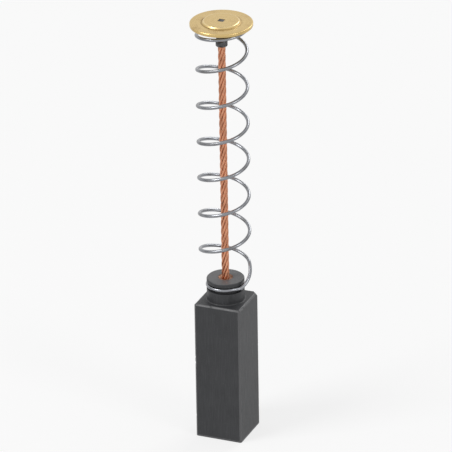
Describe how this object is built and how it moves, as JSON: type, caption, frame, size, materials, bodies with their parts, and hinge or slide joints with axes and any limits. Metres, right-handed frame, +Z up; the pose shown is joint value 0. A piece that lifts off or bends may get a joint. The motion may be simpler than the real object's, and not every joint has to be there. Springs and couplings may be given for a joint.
{
  "type": "carbon brush",
  "caption": "Motor carbon brush: square carbon block with a round boss, stranded copper lead inside a compression spring, and a round brass contact cap.",
  "frame": {"origin": "centre of the block's contact face", "axes": "+Z up the spring, from the contact face to the cap; X and Y along the block's faces"},
  "size_m": [0.0082, 0.0082, 0.0581],
  "materials": {
    "carbon": "ground carbon-graphite, matt with a faint sheen",
    "tamped_copper": "tamped copper powder, dull and grainy",
    "spring_steel": "drawn spring wire, bright",
    "cap_brass": "pressed brass, satin",
    "tinned_ferrule": "tinned, dark and dull",
    "lead_copper": "bare stranded copper"
  },
  "bodies": {
    "carbon": {"carbon_block": "carbon", "tamping_plug": "tamped_copper", "spring": "spring_steel", "lead_core": "lead_copper", "lead_strand_1": "lead_copper", "lead_strand_2": "lead_copper", "lead_strand_3": "lead_copper", "lead_strand_4": "lead_copper", "lead_strand_5": "lead_copper", "lead_strand_6": "lead_copper"},
    "cap": {"contact_cap": "cap_brass", "lead_ferrule": "tinned_ferrule"}
  },
  "joints": [
    {"name": "spring_travel", "type": "slide", "parent": "carbon", "child": "cap", "axis": [0, 0, -1], "range_m": [0, 0.025], "stiffness_N_per_m": 220, "springref_m": -0.002, "deforming": ["spring", "lead_core", "lead_strand_1", "lead_strand_2", "lead_strand_3", "lead_strand_4", "lead_strand_5", "lead_strand_6"]}
  ]
}
